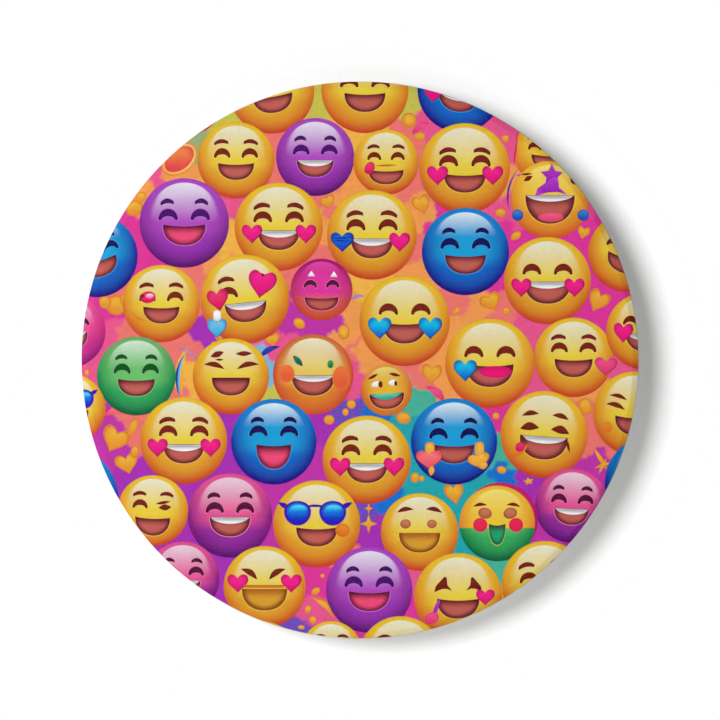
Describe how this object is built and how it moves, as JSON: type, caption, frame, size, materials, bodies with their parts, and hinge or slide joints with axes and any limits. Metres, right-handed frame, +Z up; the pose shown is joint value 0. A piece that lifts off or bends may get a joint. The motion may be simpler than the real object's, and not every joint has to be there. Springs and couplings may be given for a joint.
{
  "type": "button badge",
  "caption": "Round pin-back button badge: a film-covered print on a pressed tin shell, with a hinged needle and a turning safety catch behind.",
  "frame": {"origin": "on the badge's axis, at the middle of the back plate's rear face", "axes": "+Z up as worn, -Y towards the viewer (the printed face), +Y out of the back"},
  "size_m": [0.058, 0.0082, 0.058],
  "materials": {
    "film": "satin clear film",
    "print": "colour print on smooth paper",
    "tinplate": "satin tinplate",
    "nickel": "nickel-plated steel",
    "steel_wire": "polished hard wire",
    "brass": "turned brass"
  },
  "bodies": {
    "badge": {"clear_film": "film", "printed_paper": "print", "front_shell": "tinplate", "back_plate": "tinplate", "pin_bar": "nickel", "bar_rivet_left": "nickel", "bar_rivet_right": "nickel", "hinge_rivet": "nickel", "catch_housing": "nickel"},
    "needle": {"pin_needle": "steel_wire"},
    "rotor": {"catch_rotor": "brass"}
  },
  "joints": [
    {"name": "needle_hinge", "type": "hinge", "parent": "badge", "child": "needle", "pos_m": [0.0145, 0.0026, 0.009], "axis": [0, 0, -1], "range_deg": [0, 120]},
    {"name": "rotor_turn", "type": "hinge", "parent": "badge", "child": "rotor", "pos_m": [-0.0145, 0.0026, 0.009], "axis": [1, 0, 0], "range_deg": [0, 100]}
  ]
}
